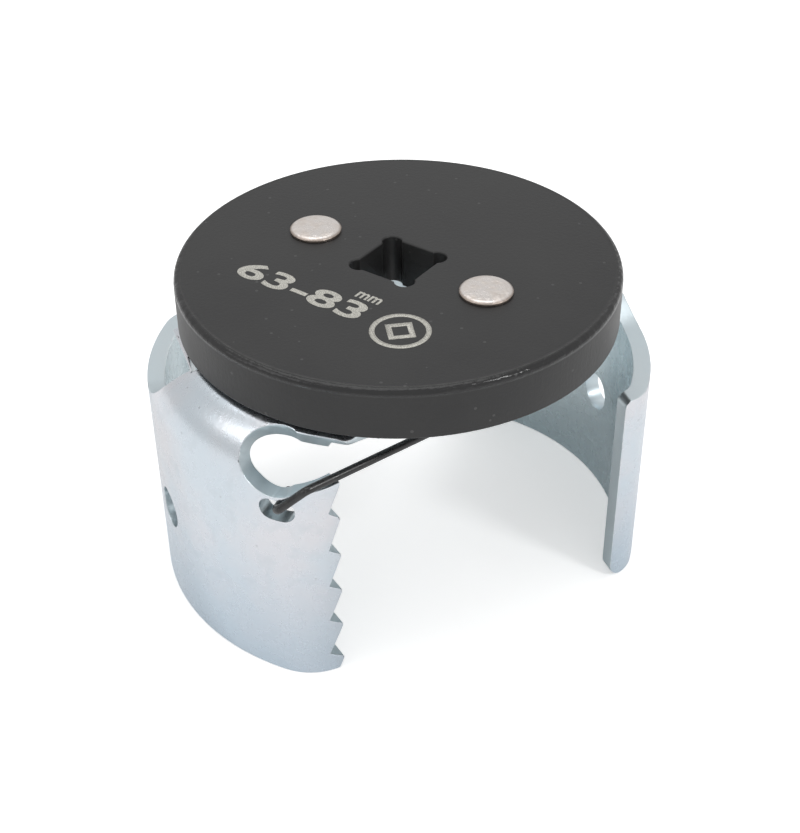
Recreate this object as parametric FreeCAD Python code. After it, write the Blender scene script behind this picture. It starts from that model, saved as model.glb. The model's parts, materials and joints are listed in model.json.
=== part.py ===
"""Two-jaw self-gripping oil filter wrench.

A round steel drive plate carries two identical toothed jaws of bent sheet
steel.  Each jaw swings on a shoulder rivet set in the plate, and a torsion
spring coiled round the rivet pulls it in against the filter.

Frame: millimetres, Z up.  Z = 0 is the lower edge of the jaws, the Z axis is
the drive axis, and X runs along the line of the two rivets.
The second jaw, rivet, washer and spring are the first ones turned half a turn.
"""
import FreeCAD, Part
import math
import os

Vec = FreeCAD.Vector
UP = Vec(0, 0, 1)

# ---------------------------------------------------------------- driving dimensions
# Drive plate
PLATE_RADIUS = 32.0
PLATE_THICKNESS = 7.7
PLATE_TOP_ROUND = 0.9
PLATE_BOTTOM_ROUND = 0.35
DRIVE_SQUARE = 9.6             # across the flats, for a 3/8 inch square drive
RELIEF_RADIUS = 1.45           # round corner reliefs of the square hole
RELIEF_INSET = 0.85            # relief centre, in from the square's corner along X and Y
HOLE_EASE = 0.3                # round on both rims of the square hole

# Pivots
PIVOT_RADIUS = 15.0            # rivet axis from the drive axis
TENON_RADIUS = 2.6             # rivet in the plate
JOURNAL_RADIUS = 3.2           # rivet in the jaw
JOURNAL_CLEARANCE = 0.06       # radial running clearance of the jaw on the rivet
COLLAR_RADIUS = 4.4            # rivet body inside the spring coil
FOOT_RADIUS = 6.8              # rivet's lower flange under the coil
FOOT_THICKNESS = 1.5
FOOT_EDGE = 0.3                # chamfer under the foot, half of it on top
RIVET_HEAD_RADIUS = 3.8
RIVET_HEAD_HEIGHT = 0.75
RIVET_HEAD_BEVEL = 0.4
WASHER_RADIUS = 7.2
WASHER_THICKNESS = 0.4
SIDE_PLAY = 0.05               # end play of the jaw on its journal, each side

# Jaws: bent sheet
SHEET = 2.6
SKIRT_HEIGHT = 33.5            # the vertical wall, up to where the bend starts
BEND_RADIUS = 7.85             # outside radius of the bend between wall and flange
SKIRT_RADIUS = 34.56           # outside of the vertical wall
SKIRT_CENTRE = (-1.88, -2.01)  # centre of that wall in plan
ARC_START = 200.0              # plain end of the round stretch, degrees about its centre
ARC_END = 282.0                # toothed end of the round stretch
PLAIN_CURL_RADIUS = 6.2        # outside radius of the inward curl at the plain end
PLAIN_CURL_LENGTH = 5.7
TOOTHED_CURL_RADIUS = 8.8      # the same for the toothed end
TOOTHED_CURL_LENGTH = 9.3
EYE_RADIUS = 8.0               # rounded end of the flange, round the rivet
DRIVE_RELIEF_RADIUS = 8.6      # flange cut back round the drive axis
NECK_REAR_ANGLE = 244.7        # flange's rear edge leaves the bend here, degrees about the wall's centre
NECK_REAR_INSET = 4.8          # and this far in from the outside of the wall
NECK_REAR_ROUND = 10.5         # sweep from the neck down to the top of the wall
NECK_RUN_OUT = (222.0, 250.0)  # directions in which the neck's outline closes outside the wall
BEND_END_ANGLE = 318.0         # the bend's other end, past the flange corner
FLANGE_FRONT_INSET = 4.4       # front edge of the flange, in from the outside of the wall
FLANGE_BOW_ANGLE = 288.0       # where that edge turns towards its corner
FLANGE_BOW_ROUND = 20.0
FLANGE_CORNER_ANGLE = 298.4    # outer corner of the flange
FLANGE_CORNER_INSET = 4.13
FLANGE_CORNER_ROUND = 1.6
SLOT_ANGLE = 273.0             # plan direction from which the slot is measured across
SLOT_END_RADIUS = 4.9          # closed end of the slot, round, square to the bend
SLOT_END_LIFT = 31.5           # where on the bend that end sits, degrees up from level
SLOT_END_ACROSS = 4.6          # its centre
SLOT_DIP = 1.0                 # slot's lowest point, below the top of the wall
TAB_RISE = 0.7                 # tab's toothed corner, above the top of the wall
TAB_REACH = 12.5               # that corner, across
TAB_SPARE = 1.5                # sheet above that corner before the slot is cut
END_ROUND_TOP = 1.2            # corner rounds of the plain end
END_ROUND_BOTTOM = 2.2

# Teeth on the free edge of the jaw
TOOTH_COUNT = 5                # below the square upper corner
TEETH_MARGIN = 1.0             # wall height that the teeth leave over
TOOTH_FOOT_INSET = 1.2         # free edge at the jaw's lower corner, in from the tooth tips
TOOTH_DEPTH = 1.75             # at the top of the wall
ROOT_LEAN = 0.95               # roots lie this much deeper at the jaw's lower edge
TIP_LEAN = 0.3                 # and the tips this much further in
FIRST_ROOT_DROP = 4.1          # first root below the top of the wall
TOOTH_UPPER_RISE = 1.45        # tip lower than the root above it
TOOTH_TIP_ROUND = 0.6

# Holes in the jaw wall
HOOK_HOLE_ANGLE = 282.3
HOOK_HOLE_DROP = 3.35          # centre below the top of the wall
HOOK_HOLE_WIDTH = 5.2
HOOK_HOLE_HEIGHT = 3.4
SIDE_HOLE_ANGLE = 240.3
SIDE_HOLE_HEIGHT = 16.4        # centre above the jaw's lower edge
SIDE_HOLE_RADIUS = 3.1

# Spring
WIRE_RADIUS = 0.6
COIL_RADIUS = 5.5              # to the middle of the wire
COIL_GAP = 0.15                # between turns
COIL_FULL_TURNS = 2
COIL_HEAD_ROOM = 0.25          # coil below the flange
COIL_FOOT_ROOM = 0.3           # coil above the rivet's foot
WIRE_BEND = 1.3                # to the middle of the wire
HOOK_END_INSET = 2.1           # hook's end, in from the inside of the wall
HOOK_STAND_OFF = 0.6           # wire's skin from the outside of the wall at the hook
HOOK_RISE = 0.7                # hook's outer bend above the middle of its hole
HOOK_START_ANGLE = -0.7        # hook's end, round from the middle of its hole
HOOK_BEND_ANGLE = 0.6          # and its outer bend
SHOULDER_ANGLE = 7.5           # bend over the wall's top, ahead of the hook hole
SHOULDER_ROOM = 0.7            # wire's skin above the top of the wall there
ANCHOR_RADIUS = 9.9            # the spring's short leg from the rivet axis
ANCHOR_ANGLE = 50.0            # and its direction, degrees from X
ANCHOR_DEPTH = 3.0             # how far the leg enters the plate
ANCHOR_CLEARANCE = 0.15

CLEAR = 6.0                    # how far cutters and outlines reach past the sheet
THROUGH = 1.0                  # how far a hole's cutter stands out at each end
OFFSET_TOLERANCE = 1e-4
SAME_POINT = 1e-6              # points closer than this are one point
CORNER_REACH = 0.2             # a corner edge lies within this of where it is looked for

# ---------------------------------------------------------------- derived levels
FLANGE_TOP = SKIRT_HEIGHT + BEND_RADIUS
FLANGE_BOTTOM = FLANGE_TOP - SHEET
WASHER_BOTTOM = FLANGE_TOP + SIDE_PLAY
PLATE_BOTTOM = WASHER_BOTTOM + WASHER_THICKNESS
PLATE_TOP = PLATE_BOTTOM + PLATE_THICKNESS
COLLAR_TOP = FLANGE_BOTTOM - SIDE_PLAY
COIL_PITCH = 2 * WIRE_RADIUS + COIL_GAP
COIL_TOP = FLANGE_BOTTOM - COIL_HEAD_ROOM - WIRE_RADIUS
TOOTH_PITCH = (SKIRT_HEIGHT - TEETH_MARGIN) / TOOTH_COUNT
PIVOT = Vec(PIVOT_RADIUS, 0, 0)
CENTRE = Vec(SKIRT_CENTRE[0], SKIRT_CENTRE[1], 0)


# ---------------------------------------------------------------- geometry helpers
def polar(centre, radius, degrees, z=0.0):
    """A point at a radius and direction from a centre in plan."""
    angle = math.radians(degrees)
    return Vec(centre.x + radius * math.cos(angle), centre.y + radius * math.sin(angle), z)


def rounded_wire(corners):
    """A closed wire through (point, radius) corners, each corner rounded by a tangent arc."""
    count = len(corners)
    edges = []
    last_out = None
    first_in = None
    for i in range(count):
        point, radius = corners[i]
        before = corners[i - 1][0]
        after = corners[(i + 1) % count][0]
        back = before.sub(point).normalize()
        ahead = after.sub(point).normalize()
        if radius > 0:
            half = back.getAngle(ahead) / 2
            reach = radius / math.tan(half)
            middle = back.add(ahead).normalize()
            start = point + back * reach
            end = point + ahead * reach
            top = point + middle * (radius / math.sin(half) - radius)
            arc = Part.Arc(start, top, end).toShape()
        else:
            start = point
            end = point
            arc = None
        if last_out is None:
            first_in = start
        elif (start - last_out).Length > SAME_POINT:
            edges.append(Part.makeLine(last_out, start))
        if arc is not None:
            edges.append(arc)
        last_out = end
    if (first_in - last_out).Length > SAME_POINT:
        edges.append(Part.makeLine(last_out, first_in))
    return Part.Wire(edges)


def prism(wire, direction):
    """The solid that a flat closed wire sweeps along a vector."""
    return Part.Face(wire).extrude(direction)


def side_prism(corners, origin, across, along, start, length):
    """A prism whose outline is drawn in the upright plane of (across, Z) and runs along a vector.

    corners is a list of (distance across, height, corner radius).
    """
    placed = []
    for distance, height, radius in corners:
        point = origin + across * distance + UP * height + along * start
        placed.append((point, radius))
    return prism(rounded_wire(placed), along * length)


def ring_sector(centre, inner, outer, first, last, z_low, z_high):
    """Part of an upright tube wall between two directions."""
    middle = (first + last) / 2
    edges = [
        Part.Arc(polar(centre, outer, first, z_low), polar(centre, outer, middle, z_low),
                 polar(centre, outer, last, z_low)).toShape(),
        Part.makeLine(polar(centre, outer, last, z_low), polar(centre, inner, last, z_low)),
        Part.Arc(polar(centre, inner, last, z_low), polar(centre, inner, middle, z_low),
                 polar(centre, inner, first, z_low)).toShape(),
        Part.makeLine(polar(centre, inner, first, z_low), polar(centre, outer, first, z_low)),
    ]
    return prism(Part.Wire(edges), UP * (z_high - z_low))


def revolved(profile, centre):
    """A full turn of a closed (radius, height) profile about an upright axis."""
    points = [Vec(centre.x + radius, centre.y, height) for radius, height in profile]
    points.append(points[0])
    face = Part.Face(Part.makePolygon(points))
    return face.revolve(centre, UP, 360)


def half_turn(shape):
    """The same piece on the other side of the drive axis."""
    turned = shape.copy()
    turned.rotate(Vec(0, 0, 0), UP, 180)
    return turned


def tangent_heading(point, centre, radius, side):
    """Direction from a point along the line that touches a circle; side is +1 or -1."""
    towards = centre - point
    heading = math.degrees(math.atan2(towards.y, towards.x))
    reach = math.hypot(towards.x, towards.y)
    return heading + side * math.degrees(math.asin(radius / reach))


# ---------------------------------------------------------------- drive plate
def square_hole():
    """The cutter for the square drive hole with its round corner reliefs."""
    half = DRIVE_SQUARE / 2
    depth = PLATE_THICKNESS + 2 * THROUGH
    low = PLATE_BOTTOM - THROUGH
    cutter = Part.makeBox(DRIVE_SQUARE, DRIVE_SQUARE, depth, Vec(-half, -half, low))
    offset = half - RELIEF_INSET
    for sx in (-1, 1):
        for sy in (-1, 1):
            relief = Part.makeCylinder(RELIEF_RADIUS, depth, Vec(sx * offset, sy * offset, low))
            cutter = cutter.fuse(relief)
    return cutter


def anchor_point(z):
    """Centre of the hole that takes the first spring's short leg."""
    return polar(PIVOT, ANCHOR_RADIUS, ANCHOR_ANGLE, z)


def drive_plate():
    """Round plate with the square hole, two rivet holes and two blind spring holes."""
    plate = Part.makeCylinder(PLATE_RADIUS, PLATE_THICKNESS, Vec(0, 0, PLATE_BOTTOM))
    for level, round_radius in ((PLATE_TOP, PLATE_TOP_ROUND), (PLATE_BOTTOM, PLATE_BOTTOM_ROUND)):
        rim = [edge for edge in plate.Edges
               if abs(edge.BoundBox.ZMin - level) < SAME_POINT
               and abs(edge.BoundBox.ZMax - level) < SAME_POINT]
        plate = plate.makeFillet(round_radius, rim)
    plate = plate.cut(square_hole())
    reach = DRIVE_SQUARE / math.sqrt(2) + RELIEF_RADIUS
    hole_rims = [edge for edge in plate.Edges
                 if edge.BoundBox.ZLength < SAME_POINT and edge.BoundBox.DiagonalLength < reach * 2
                 and abs(edge.CenterOfMass.x) < reach and abs(edge.CenterOfMass.y) < reach]
    plate = plate.makeFillet(HOLE_EASE, hole_rims)
    rivet_hole = Part.makeCylinder(TENON_RADIUS, PLATE_THICKNESS + 2 * THROUGH,
                                   PIVOT + UP * (PLATE_BOTTOM - THROUGH))
    anchor_hole = Part.makeCylinder(WIRE_RADIUS + ANCHOR_CLEARANCE,
                                    ANCHOR_DEPTH + ANCHOR_CLEARANCE + THROUGH,
                                    anchor_point(PLATE_BOTTOM - THROUGH))
    for cutter in (rivet_hole, anchor_hole):
        plate = plate.cut(cutter)
        plate = plate.cut(half_turn(cutter))
    return plate.removeSplitter()


# ---------------------------------------------------------------- pivots
def foot_top():
    """Upper face of the rivet's foot, just under the spring coil."""
    return coil_bottom() - WIRE_RADIUS - COIL_FOOT_ROOM


def pivot_rivet():
    """Shoulder rivet: foot, collar inside the spring, journal for the jaw, tenon and formed head."""
    top = foot_top()
    bottom = top - FOOT_THICKNESS
    profile = [
        (0, bottom),
        (FOOT_RADIUS - FOOT_EDGE, bottom),
        (FOOT_RADIUS, bottom + FOOT_EDGE),
        (FOOT_RADIUS, top - FOOT_EDGE / 2),
        (FOOT_RADIUS - FOOT_EDGE / 2, top),
        (COLLAR_RADIUS, top),
        (COLLAR_RADIUS, COLLAR_TOP),
        (JOURNAL_RADIUS, COLLAR_TOP),
        (JOURNAL_RADIUS, PLATE_BOTTOM),
        (TENON_RADIUS, PLATE_BOTTOM),
        (TENON_RADIUS, PLATE_TOP),
        (RIVET_HEAD_RADIUS, PLATE_TOP),
        (RIVET_HEAD_RADIUS, PLATE_TOP + RIVET_HEAD_HEIGHT - RIVET_HEAD_BEVEL),
        (RIVET_HEAD_RADIUS - RIVET_HEAD_BEVEL, PLATE_TOP + RIVET_HEAD_HEIGHT),
        (0, PLATE_TOP + RIVET_HEAD_HEIGHT),
    ]
    return revolved(profile, PIVOT)


def washer():
    """Thin spacing washer between the jaw's flange and the plate."""
    ring = Part.makeCylinder(WASHER_RADIUS, WASHER_THICKNESS, PIVOT + UP * WASHER_BOTTOM)
    bore = Part.makeCylinder(JOURNAL_RADIUS + JOURNAL_CLEARANCE, WASHER_THICKNESS + 2 * THROUGH,
                             PIVOT + UP * (WASHER_BOTTOM - THROUGH))
    return ring.cut(bore)


# ---------------------------------------------------------------- jaw
def curl_centre(direction, curl_radius):
    """Centre of an end curl, which leaves the round wall tangentially."""
    return polar(CENTRE, SKIRT_RADIUS - curl_radius, direction)


def plain_turn():
    """How far the plain end curls in, degrees."""
    return math.degrees(PLAIN_CURL_LENGTH / PLAIN_CURL_RADIUS)


def toothed_turn():
    """How far the toothed end curls in, degrees."""
    return math.degrees(TOOTHED_CURL_LENGTH / TOOTHED_CURL_RADIUS)


def wall_skin():
    """Outer face of the upright wall: a round stretch with an inward curl at each end.

    It starts a little below the jaw's lower edge, which is then cut level.
    """
    plain_centre = curl_centre(ARC_START, PLAIN_CURL_RADIUS)
    toothed_centre = curl_centre(ARC_END, TOOTHED_CURL_RADIUS)
    stretches = (
        (plain_centre, PLAIN_CURL_RADIUS, ARC_START - plain_turn(), ARC_START, SKIRT_HEIGHT),
        (CENTRE, SKIRT_RADIUS, ARC_START, ARC_END, SKIRT_HEIGHT),
        (toothed_centre, TOOTHED_CURL_RADIUS, ARC_END, ARC_END + toothed_turn(),
         SKIRT_HEIGHT + TAB_SPARE),
    )
    faces = []
    for centre, radius, first, last, height in stretches:
        arc = Part.Arc(polar(centre, radius, first, -THROUGH),
                       polar(centre, radius, (first + last) / 2, -THROUGH),
                       polar(centre, radius, last, -THROUGH)).toShape()
        faces.append(arc.extrude(UP * (height + THROUGH)))
    return faces


def bend_skin():
    """Outer face of the bend between the wall and the flange, before trimming."""
    bend_start = SKIRT_RADIUS - BEND_RADIUS
    first = polar(Vec(0, 0, 0), 1, ARC_START)
    slope = math.sqrt(0.5)

    def at(radius, height):
        return CENTRE + first * radius + UP * height

    profile = Part.Arc(at(SKIRT_RADIUS, SKIRT_HEIGHT),
                       at(bend_start + BEND_RADIUS * slope, SKIRT_HEIGHT + BEND_RADIUS * slope),
                       at(bend_start, FLANGE_TOP)).toShape()
    return profile.revolve(CENTRE, UP, BEND_END_ANGLE - ARC_START)


def bend_zone():
    """Everything above the wall that is outside the flat of the flange."""
    return ring_sector(CENTRE, SKIRT_RADIUS - BEND_RADIUS, SKIRT_RADIUS + 3 * CLEAR, ARC_START,
                       BEND_END_ANGLE, SKIRT_HEIGHT, FLANGE_TOP + THROUGH)


def neck_rear(z):
    """Where the flange's rear edge leaves the bend."""
    return polar(CENTRE, SKIRT_RADIUS - NECK_REAR_INSET, NECK_REAR_ANGLE, z)


def flange_outline():
    """Plan shape of everything above the wall: neck, flange and the eye round the rivet."""
    low = SKIRT_HEIGHT
    rise = FLANGE_TOP - SKIRT_HEIGHT + THROUGH
    rear = neck_rear(low)
    corner = polar(CENTRE, SKIRT_RADIUS - FLANGE_CORNER_INSET, FLANGE_CORNER_ANGLE, low)
    front = SKIRT_RADIUS - FLANGE_FRONT_INSET
    eye = PIVOT + UP * low
    rear_heading = tangent_heading(rear, eye, EYE_RADIUS, 1)
    front_heading = tangent_heading(corner, eye, EYE_RADIUS, -1)
    rear_touch = polar(eye, EYE_RADIUS, rear_heading + 90, low)
    front_touch = polar(eye, EYE_RADIUS, front_heading - 90, low)
    beyond = SKIRT_RADIUS + CLEAR
    slot_middle = SLOT_ANGLE + math.degrees(SLOT_END_ACROSS / front)
    outline = [
        (rear_touch, 0),
        (rear, 0),
        (polar(CENTRE, SKIRT_RADIUS - 2.5 * SHEET, NECK_RUN_OUT[0], low), 0),
        (polar(CENTRE, beyond, NECK_RUN_OUT[0], low), 0),
        (polar(CENTRE, beyond + CLEAR, NECK_RUN_OUT[1], low), 0),
        (polar(CENTRE, beyond, slot_middle, low), 0),
        (polar(CENTRE, front, slot_middle, low), 0),
        (polar(CENTRE, front, FLANGE_BOW_ANGLE, low), FLANGE_BOW_ROUND),
        (corner, FLANGE_CORNER_ROUND),
        (front_touch, 0),
        (eye, 0),
    ]
    solid = prism(rounded_wire(outline), UP * rise)
    round_eye = Part.makeCylinder(EYE_RADIUS, rise, eye)
    return solid.fuse(round_eye)


def rear_sweep():
    """Cutter for the rear of the neck, which sweeps down into the top of the wall."""
    rear = neck_rear(0)
    heading = tangent_heading(rear, PIVOT, EYE_RADIUS, 1) + 180
    along = polar(Vec(0, 0, 0), 1, heading)
    across = polar(Vec(0, 0, 0), 1, heading - 90)
    radius = NECK_REAR_ROUND
    top = SKIRT_HEIGHT + radius + CLEAR
    far = SKIRT_RADIUS
    outline = [(0, SKIRT_HEIGHT, radius), (far, SKIRT_HEIGHT, 0), (far, top, 0), (0, top, 0)]
    return side_prism(outline, rear, across, along, 0, 0.75 * SKIRT_RADIUS)


def slot_cutters():
    """Cutters for the slot below the flange: its round closed end, and the run to the tab."""
    along = polar(Vec(0, 0, 0), 1, SLOT_ANGLE)
    across = polar(Vec(0, 0, 0), 1, SLOT_ANGLE + 90)
    lift = math.radians(SLOT_END_LIFT)
    axis = along * math.cos(lift) + UP * math.sin(lift)
    bend_start = SKIRT_RADIUS - BEND_RADIUS
    middle = CENTRE + along * bend_start + across * SLOT_END_ACROSS + UP * SKIRT_HEIGHT
    closed_end = Part.makeCylinder(SLOT_END_RADIUS, 2 * BEND_RADIUS, middle, axis)
    dip = SKIRT_HEIGHT - SLOT_DIP
    slope = (TAB_RISE + SLOT_DIP) / (TAB_REACH - SLOT_END_ACROSS)
    run = TAB_REACH + CLEAR - SLOT_END_ACROSS
    outline = [(SLOT_END_ACROSS, FLANGE_BOTTOM, 0), (SLOT_END_ACROSS, dip, 0),
               (SLOT_END_ACROSS + run, dip + slope * run, 0),
               (SLOT_END_ACROSS + run, FLANGE_BOTTOM, 0)]
    opening = side_prism(outline, CENTRE, across, along, SKIRT_RADIUS - 5 * SHEET, 8 * SHEET)
    return closed_end, opening


def teeth_cutter():
    """Cutter for the saw-like teeth down the free edge."""
    end = ARC_END + toothed_turn()
    curl = curl_centre(ARC_END, TOOTHED_CURL_RADIUS)
    tip = polar(curl, TOOTHED_CURL_RADIUS, end)
    lean = math.degrees(TOOTH_DEPTH / TOOTHED_CURL_RADIUS) / 2
    across = polar(Vec(0, 0, 0), 1, end + 90 - lean)
    along = polar(Vec(0, 0, 0), 1, end - lean)
    above = SKIRT_HEIGHT + CLEAR
    outline = [(0, above, 0), (0, SKIRT_HEIGHT, 0)]
    for number in range(TOOTH_COUNT):
        root = SKIRT_HEIGHT - FIRST_ROOT_DROP - number * TOOTH_PITCH
        fall = 1 - root / SKIRT_HEIGHT
        outline.append((-TOOTH_DEPTH - ROOT_LEAN * fall, root, 0))
        outline.append((-TIP_LEAN * fall, root - TOOTH_UPPER_RISE, TOOTH_TIP_ROUND))
    outline.append((-TOOTH_FOOT_INSET, 0, 0))
    outline.append((-TOOTH_FOOT_INSET, -THROUGH, 0))
    outline.append((CLEAR, -THROUGH, 0))
    outline.append((CLEAR, above, 0))
    return side_prism(outline, tip, across, along, -2 * SHEET, 4 * SHEET)


def hook_hole():
    """Cutter for the level obround hole that takes the spring's hook."""
    along = polar(Vec(0, 0, 0), 1, HOOK_HOLE_ANGLE)
    across = polar(Vec(0, 0, 0), 1, HOOK_HOLE_ANGLE + 90)
    half_width = HOOK_HOLE_WIDTH / 2
    half_height = HOOK_HOLE_HEIGHT / 2
    level = SKIRT_HEIGHT - HOOK_HOLE_DROP
    low = level - half_height
    high = level + half_height
    outline = [(-half_width, low, half_height), (half_width, low, half_height),
               (half_width, high, half_height), (-half_width, high, half_height)]
    return side_prism(outline, CENTRE, across, along, SKIRT_RADIUS - 3 * SHEET, 5 * SHEET)


def side_hole():
    """Cutter for the round hole half way up the wall."""
    start = polar(CENTRE, SKIRT_RADIUS - 3 * SHEET, SIDE_HOLE_ANGLE, SIDE_HOLE_HEIGHT)
    return Part.makeCylinder(SIDE_HOLE_RADIUS, 5 * SHEET, start,
                             polar(Vec(0, 0, 0), 1, SIDE_HOLE_ANGLE))


def jaw_skin():
    """Outer skin of the jaw, trimmed: wall, neck, and flange with its eye."""
    outline = flange_outline()
    flat = outline.slice(UP, FLANGE_TOP)
    flange = Part.Face(flat[0]).cut(bend_zone())
    bend = bend_skin().common(outline)
    upper = flange.fuse(bend).cut(rear_sweep())
    skin = upper.fuse(wall_skin())
    for cutter in slot_cutters():
        skin = skin.cut(cutter)
    return Part.Shell(skin.Faces)


def jaw():
    """One bent sheet jaw: its outer skin thickened inwards, then toothed and pierced."""
    body = jaw_skin().makeOffsetShape(-SHEET, OFFSET_TOLERANCE, fill=True)
    span = 4 * SKIRT_RADIUS
    below = Part.makeBox(span, span, 2 * THROUGH, Vec(-span / 2, -span / 2, -2 * THROUGH))
    body = body.cut(below)
    for level, radius in ((SKIRT_HEIGHT, END_ROUND_TOP), (0, END_ROUND_BOTTOM)):
        target = polar(curl_centre(ARC_START, PLAIN_CURL_RADIUS), PLAIN_CURL_RADIUS - SHEET / 2,
                       ARC_START - plain_turn(), level)
        corner = [edge for edge in body.Edges
                  if (edge.CenterOfMass - target).Length < CORNER_REACH]
        body = body.makeFillet(radius, corner)
    body = body.cut(teeth_cutter())
    body = body.cut(hook_hole())
    body = body.cut(side_hole())
    bore = Part.makeCylinder(JOURNAL_RADIUS + JOURNAL_CLEARANCE, SHEET + 2 * THROUGH,
                             PIVOT + UP * (FLANGE_BOTTOM - THROUGH))
    drive_relief = Part.makeCylinder(DRIVE_RELIEF_RADIUS, SHEET + 2 * THROUGH,
                                     UP * (FLANGE_BOTTOM - THROUGH))
    body = body.cut(bore)
    body = body.cut(drive_relief)
    return body.removeSplitter()


# ---------------------------------------------------------------- spring
def hook_route():
    """Corners of the spring's long leg: hook end, bend outside the wall, bend over its top."""
    level = SKIRT_HEIGHT - HOOK_HOLE_DROP
    inside = polar(CENTRE, SKIRT_RADIUS - SHEET - HOOK_END_INSET, HOOK_HOLE_ANGLE + HOOK_START_ANGLE,
                   level)
    outside = polar(CENTRE, SKIRT_RADIUS + WIRE_RADIUS + HOOK_STAND_OFF,
                    HOOK_HOLE_ANGLE + HOOK_BEND_ANGLE, level + HOOK_RISE)
    over = polar(CENTRE, SKIRT_RADIUS, HOOK_HOLE_ANGLE + SHOULDER_ANGLE,
                 SKIRT_HEIGHT + WIRE_RADIUS + SHOULDER_ROOM)
    return inside, outside, over


def coil_start_angle():
    """Direction from the rivet at which the long leg runs on to the coil."""
    over = hook_route()[2]
    return tangent_heading(Vec(over.x, over.y, 0), PIVOT, COIL_RADIUS, -1) - 90


def coil_end_angle():
    """Direction from the rivet at which the coil runs off to the short leg."""
    return ANCHOR_ANGLE - math.degrees(math.acos(COIL_RADIUS / ANCHOR_RADIUS))


def coil_turn():
    """The coil's whole turn in degrees, counter-clockwise going up."""
    part_turn = (coil_end_angle() - coil_start_angle()) % 360
    return part_turn + 360 * COIL_FULL_TURNS


def coil_bottom():
    """Height of the wire's centre where the coil starts."""
    return COIL_TOP - COIL_PITCH * coil_turn() / 360


def rounded_run(points, radii):
    """Edges of an open run through points, with a tangent arc at each inner point."""
    edges = []
    here = points[0]
    for i in range(1, len(points) - 1):
        back = (points[i - 1] - points[i]).normalize()
        ahead = (points[i + 1] - points[i]).normalize()
        half = back.getAngle(ahead) / 2
        reach = radii[i - 1] / math.tan(half)
        middle = (back + ahead).normalize()
        start = points[i] + back * reach
        end = points[i] + ahead * reach
        top = points[i] + middle * (radii[i - 1] / math.sin(half) - radii[i - 1])
        edges.append(Part.makeLine(here, start))
        edges.append(Part.Arc(start, top, end).toShape())
        here = end
    edges.append(Part.makeLine(here, points[-1]))
    return edges


def torsion_spring():
    """Round wire: hook, long leg, coil under the flange, and short leg up into the plate."""
    bottom = coil_bottom()
    start = polar(PIVOT, COIL_RADIUS, coil_start_angle(), bottom)
    end = polar(PIVOT, COIL_RADIUS, coil_end_angle(), COIL_TOP)
    long_leg = rounded_run(list(hook_route()) + [start], [WIRE_BEND, WIRE_BEND])
    helix = Part.makeHelix(COIL_PITCH, COIL_TOP - bottom, COIL_RADIUS)
    helix.rotate(Vec(0, 0, 0), UP, coil_start_angle())
    helix.translate(PIVOT + UP * bottom)
    slope = COIL_PITCH / (2 * math.pi * COIL_RADIUS)
    leg_corner = anchor_point(COIL_TOP + slope * math.sqrt(ANCHOR_RADIUS ** 2 - COIL_RADIUS ** 2))
    leg_top = anchor_point(PLATE_BOTTOM + ANCHOR_DEPTH)
    short_leg = rounded_run([end, leg_corner, leg_top], [WIRE_BEND])
    path = Part.Wire(long_leg + helix.Edges + short_leg)
    first = hook_route()[0]
    heading = hook_route()[1] - first
    section = Part.Wire([Part.makeCircle(WIRE_RADIUS, first, heading)])
    return path.makePipeShell([section], True, True)


# ---------------------------------------------------------------- write the pieces
def main():
    os.makedirs("parts", exist_ok=True)
    first_side = {
        "jaw": jaw(),
        "pivot_rivet": pivot_rivet(),
        "pivot_washer": washer(),
        "jaw_spring": torsion_spring(),
    }
    pieces = {"drive_plate": drive_plate()}
    for name, shape in first_side.items():
        pieces["left_" + name] = shape
        pieces["right_" + name] = half_turn(shape)
    for name, shape in pieces.items():
        if shape.ShapeType == "Compound" and len(shape.Solids) == 1:
            shape = shape.Solids[0]
        box = shape.BoundBox
        print(f"{name:20s} solids {len(shape.Solids)} valid {shape.isValid()} volume {shape.Volume:9.1f} "
              f"x {box.XMin:7.2f} {box.XMax:7.2f} y {box.YMin:7.2f} {box.YMax:7.2f} "
              f"z {box.ZMin:6.2f} {box.ZMax:6.2f}")
        shape.exportStep("parts/" + name + ".step")


main()
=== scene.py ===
# %% [markdown]
# # A two-jaw oil filter wrench
# The real tool is a thick black steel plate with a square hole for a ratchet.  Two jaws of bent,
# zinc plated sheet hang under it on rivets, and a wire spring round each rivet pulls its jaw in.
# The CAD model already gives the sizes and the joints, so this lesson only makes the looks: it
# loads that model as a fixed frame and puts finished surfaces exactly where the CAD solids are.

# %% Load the frame
import json
import math

import bmesh
import bpy
from mathutils import Matrix, Vector
from mathutils.bvhtree import BVHTree


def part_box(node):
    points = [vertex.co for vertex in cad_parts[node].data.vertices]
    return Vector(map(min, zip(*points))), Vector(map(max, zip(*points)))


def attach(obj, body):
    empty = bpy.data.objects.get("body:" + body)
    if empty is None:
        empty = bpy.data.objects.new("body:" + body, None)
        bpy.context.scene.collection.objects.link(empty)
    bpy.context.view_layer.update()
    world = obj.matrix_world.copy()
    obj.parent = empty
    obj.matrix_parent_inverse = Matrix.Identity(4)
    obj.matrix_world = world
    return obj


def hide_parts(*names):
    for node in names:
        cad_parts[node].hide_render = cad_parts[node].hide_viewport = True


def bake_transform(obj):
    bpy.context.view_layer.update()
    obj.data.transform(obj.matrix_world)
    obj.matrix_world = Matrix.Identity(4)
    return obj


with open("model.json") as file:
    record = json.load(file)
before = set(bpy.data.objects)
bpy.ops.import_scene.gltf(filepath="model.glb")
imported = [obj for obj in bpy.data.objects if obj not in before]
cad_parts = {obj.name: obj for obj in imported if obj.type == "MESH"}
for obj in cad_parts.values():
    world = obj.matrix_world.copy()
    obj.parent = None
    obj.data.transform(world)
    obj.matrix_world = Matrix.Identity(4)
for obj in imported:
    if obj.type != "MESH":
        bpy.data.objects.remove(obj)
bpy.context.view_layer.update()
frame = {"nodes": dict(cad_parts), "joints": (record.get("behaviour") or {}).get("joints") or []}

MM = 0.001

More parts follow.
